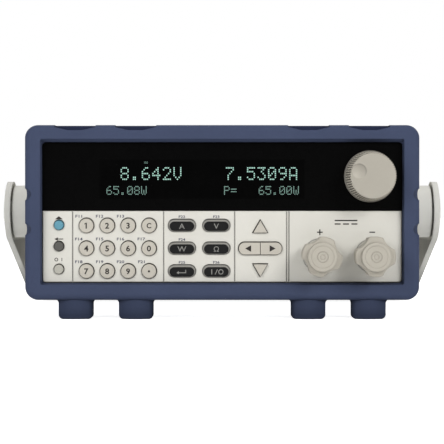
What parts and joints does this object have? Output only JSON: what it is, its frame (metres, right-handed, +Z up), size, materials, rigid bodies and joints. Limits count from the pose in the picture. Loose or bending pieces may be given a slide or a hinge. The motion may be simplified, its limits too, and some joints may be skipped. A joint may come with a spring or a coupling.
{
  "type": "dc electronic load",
  "caption": "Half-rack bench DC electronic load with a keypad, dark readout window, rotary knob, screw terminals, rubber bumpers and a folding carry handle.",
  "frame": {"origin": "under the middle of the whole object, on the surface that its feet stand on", "axes": "+X to the right seen from the front, +Y to the rear, +Z up"},
  "size_m": [0.264, 0.3936, 0.1111],
  "materials": {
    "bumper_rubber": "matt moulded rubber",
    "panel_plastic": "fine spark texture",
    "window_black": "polished black window",
    "key_cream": "satin moulded key",
    "key_blue": "satin moulded key",
    "key_dark": "satin moulded key",
    "key_white": "satin moulded key",
    "knob_beige": "satin moulded plastic",
    "handle_grey": "satin moulded plastic",
    "case_paint": "fine textured paint",
    "sheet_steel": "zinc plated",
    "nickel": "nickel plated",
    "stud_brass": "turned",
    "sink_alloy": "extruded",
    "board_green": "solder mask",
    "black_plastic": "moulded",
    "tube_glass": "dark filter glass",
    "mat_rubber": "silicone",
    "block_green": "moulded",
    "core_steel": "varnished laminations"
  },
  "bodies": {
    "case": {"chassis_tray": "sheet_steel", "top_cover": "case_paint", "rear_panel": "case_paint", "front_bumper": "bumper_rubber", "rear_bumper": "bumper_rubber", "front_panel": "panel_plastic", "display_window": "window_black", "vfd_tube": "tube_glass", "display_board": "board_green", "keypad_board": "board_green", "key_mat": "mat_rubber", "encoder": "nickel", "terminal_base": "panel_plastic", "terminal_studs": "stud_brass", "handle_hubs": "handle_grey", "main_board": "board_green", "heatsink": "sink_alloy", "power_transistors": "black_plastic", "transformer": "core_steel", "fan_frame": "black_plastic", "mains_inlet": "black_plastic", "usb_port": "nickel", "serial_port": "nickel", "gpib_port": "nickel", "sense_block": "block_green", "bnc_jack": "nickel", "screws": "nickel"},
    "handle": {"handle": "handle_grey"},
    "knob": {"knob": "knob_beige", "encoder_shaft": "nickel"},
    "plus_carriage": {"plus_washer": "nickel"},
    "plus_cap": {"plus_cap": "knob_beige"},
    "minus_carriage": {"minus_washer": "nickel"},
    "minus_cap": {"minus_cap": "knob_beige"},
    "fan_rotor": {"fan_rotor": "black_plastic"},
    "shift_key": {"shift_key": "key_blue"},
    "local_key": {"local_key": "key_dark"},
    "power_button": {"power_button": "key_white"},
    "key_1": {"key_1": "key_cream"},
    "key_2": {"key_2": "key_cream"},
    "key_3": {"key_3": "key_cream"},
    "key_4": {"key_4": "key_cream"},
    "key_5": {"key_5": "key_cream"},
    "key_6": {"key_6": "key_cream"},
    "key_7": {"key_7": "key_cream"},
    "key_8": {"key_8": "key_cream"},
    "key_9": {"key_9": "key_cream"},
    "key_0": {"key_0": "key_cream"},
    "key_point": {"key_point": "key_cream"},
    "key_escape": {"key_escape": "key_cream"},
    "mode_key_1": {"mode_key_1": "key_dark"},
    "mode_key_2": {"mode_key_2": "key_dark"},
    "mode_key_3": {"mode_key_3": "key_dark"},
    "mode_key_4": {"mode_key_4": "key_dark"},
    "enter_key": {"enter_key": "key_dark"},
    "input_key": {"input_key": "key_dark"},
    "up_key": {"up_key": "key_cream"},
    "down_key": {"down_key": "key_cream"},
    "left_key": {"left_key": "key_cream"},
    "right_key": {"right_key": "key_cream"}
  },
  "joints": [
    {"name": "handle_swing", "type": "hinge", "parent": "case", "child": "handle", "pos_m": [0, -0.1148, 0.06145], "axis": [-1, 0, 0], "range_deg": [0, 245]},
    {"name": "knob_turn", "type": "hinge", "parent": "case", "child": "knob", "pos_m": [0.08456, -0.1698, 0.08173], "axis": [0, -1, 0], "continuous": true},
    {"name": "plus_cap_turn", "type": "hinge", "parent": "plus_carriage", "child": "plus_cap", "pos_m": [0.05595, -0.1698, 0.03635], "axis": [0, -1, 0], "range_deg": [0, 1440]},
    {"name": "minus_cap_turn", "type": "hinge", "parent": "minus_carriage", "child": "minus_cap", "pos_m": [0.08595, -0.1698, 0.03635], "axis": [0, -1, 0], "range_deg": [0, 1440]},
    {"name": "fan_spin", "type": "hinge", "parent": "case", "child": "fan_rotor", "pos_m": [0.05205, 0.17, 0.06145], "axis": [0, 1, 0], "continuous": true},
    {"name": "plus_cap_travel", "type": "slide", "parent": "case", "child": "plus_carriage", "axis": [0, -1, 0], "range_m": [0, 0.004]},
    {"name": "minus_cap_travel", "type": "slide", "parent": "case", "child": "minus_carriage", "axis": [0, -1, 0], "range_m": [0, 0.004]},
    {"name": "shift_key_press", "type": "slide", "parent": "case", "child": "shift_key", "axis": [0, 1, 0], "range_m": [0, 0.001], "stiffness_N_per_m": 400},
    {"name": "local_key_press", "type": "slide", "parent": "case", "child": "local_key", "axis": [0, 1, 0], "range_m": [0, 0.001], "stiffness_N_per_m": 400},
    {"name": "power_button_press", "type": "slide", "parent": "case", "child": "power_button", "axis": [0, 1, 0], "range_m": [0, 0.001], "stiffness_N_per_m": 400},
    {"name": "key_1_press", "type": "slide", "parent": "case", "child": "key_1", "axis": [0, 1, 0], "range_m": [0, 0.001], "stiffness_N_per_m": 400},
    {"name": "key_2_press", "type": "slide", "parent": "case", "child": "key_2", "axis": [0, 1, 0], "range_m": [0, 0.001], "stiffness_N_per_m": 400},
    {"name": "key_3_press", "type": "slide", "parent": "case", "child": "key_3", "axis": [0, 1, 0], "range_m": [0, 0.001], "stiffness_N_per_m": 400},
    {"name": "key_4_press", "type": "slide", "parent": "case", "child": "key_4", "axis": [0, 1, 0], "range_m": [0, 0.001], "stiffness_N_per_m": 400},
    {"name": "key_5_press", "type": "slide", "parent": "case", "child": "key_5", "axis": [0, 1, 0], "range_m": [0, 0.001], "stiffness_N_per_m": 400},
    {"name": "key_6_press", "type": "slide", "parent": "case", "child": "key_6", "axis": [0, 1, 0], "range_m": [0, 0.001], "stiffness_N_per_m": 400},
    {"name": "key_7_press", "type": "slide", "parent": "case", "child": "key_7", "axis": [0, 1, 0], "range_m": [0, 0.001], "stiffness_N_per_m": 400},
    {"name": "key_8_press", "type": "slide", "parent": "case", "child": "key_8", "axis": [0, 1, 0], "range_m": [0, 0.001], "stiffness_N_per_m": 400},
    {"name": "key_9_press", "type": "slide", "parent": "case", "child": "key_9", "axis": [0, 1, 0], "range_m": [0, 0.001], "stiffness_N_per_m": 400},
    {"name": "key_0_press", "type": "slide", "parent": "case", "child": "key_0", "axis": [0, 1, 0], "range_m": [0, 0.001], "stiffness_N_per_m": 400},
    {"name": "key_point_press", "type": "slide", "parent": "case", "child": "key_point", "axis": [0, 1, 0], "range_m": [0, 0.001], "stiffness_N_per_m": 400},
    {"name": "key_escape_press", "type": "slide", "parent": "case", "child": "key_escape", "axis": [0, 1, 0], "range_m": [0, 0.001], "stiffness_N_per_m": 400},
    {"name": "mode_key_1_press", "type": "slide", "parent": "case", "child": "mode_key_1", "axis": [0, 1, 0], "range_m": [0, 0.001], "stiffness_N_per_m": 400},
    {"name": "mode_key_2_press", "type": "slide", "parent": "case", "child": "mode_key_2", "axis": [0, 1, 0], "range_m": [0, 0.001], "stiffness_N_per_m": 400},
    {"name": "mode_key_3_press", "type": "slide", "parent": "case", "child": "mode_key_3", "axis": [0, 1, 0], "range_m": [0, 0.001], "stiffness_N_per_m": 400},
    {"name": "mode_key_4_press", "type": "slide", "parent": "case", "child": "mode_key_4", "axis": [0, 1, 0], "range_m": [0, 0.001], "stiffness_N_per_m": 400},
    {"name": "enter_key_press", "type": "slide", "parent": "case", "child": "enter_key", "axis": [0, 1, 0], "range_m": [0, 0.001], "stiffness_N_per_m": 400},
    {"name": "input_key_press", "type": "slide", "parent": "case", "child": "input_key", "axis": [0, 1, 0], "range_m": [0, 0.001], "stiffness_N_per_m": 400},
    {"name": "up_key_press", "type": "slide", "parent": "case", "child": "up_key", "axis": [0, 1, 0], "range_m": [0, 0.001], "stiffness_N_per_m": 400},
    {"name": "down_key_press", "type": "slide", "parent": "case", "child": "down_key", "axis": [0, 1, 0], "range_m": [0, 0.001], "stiffness_N_per_m": 400},
    {"name": "left_key_press", "type": "slide", "parent": "case", "child": "left_key", "axis": [0, 1, 0], "range_m": [0, 0.001], "stiffness_N_per_m": 400},
    {"name": "right_key_press", "type": "slide", "parent": "case", "child": "right_key", "axis": [0, 1, 0], "range_m": [0, 0.001], "stiffness_N_per_m": 400}
  ],
  "couplings": [
    {"joint": "plus_cap_turn", "follows": "plus_cap_travel", "rad_per_m": 6283},
    {"joint": "minus_cap_turn", "follows": "minus_cap_travel", "rad_per_m": 6283}
  ]
}
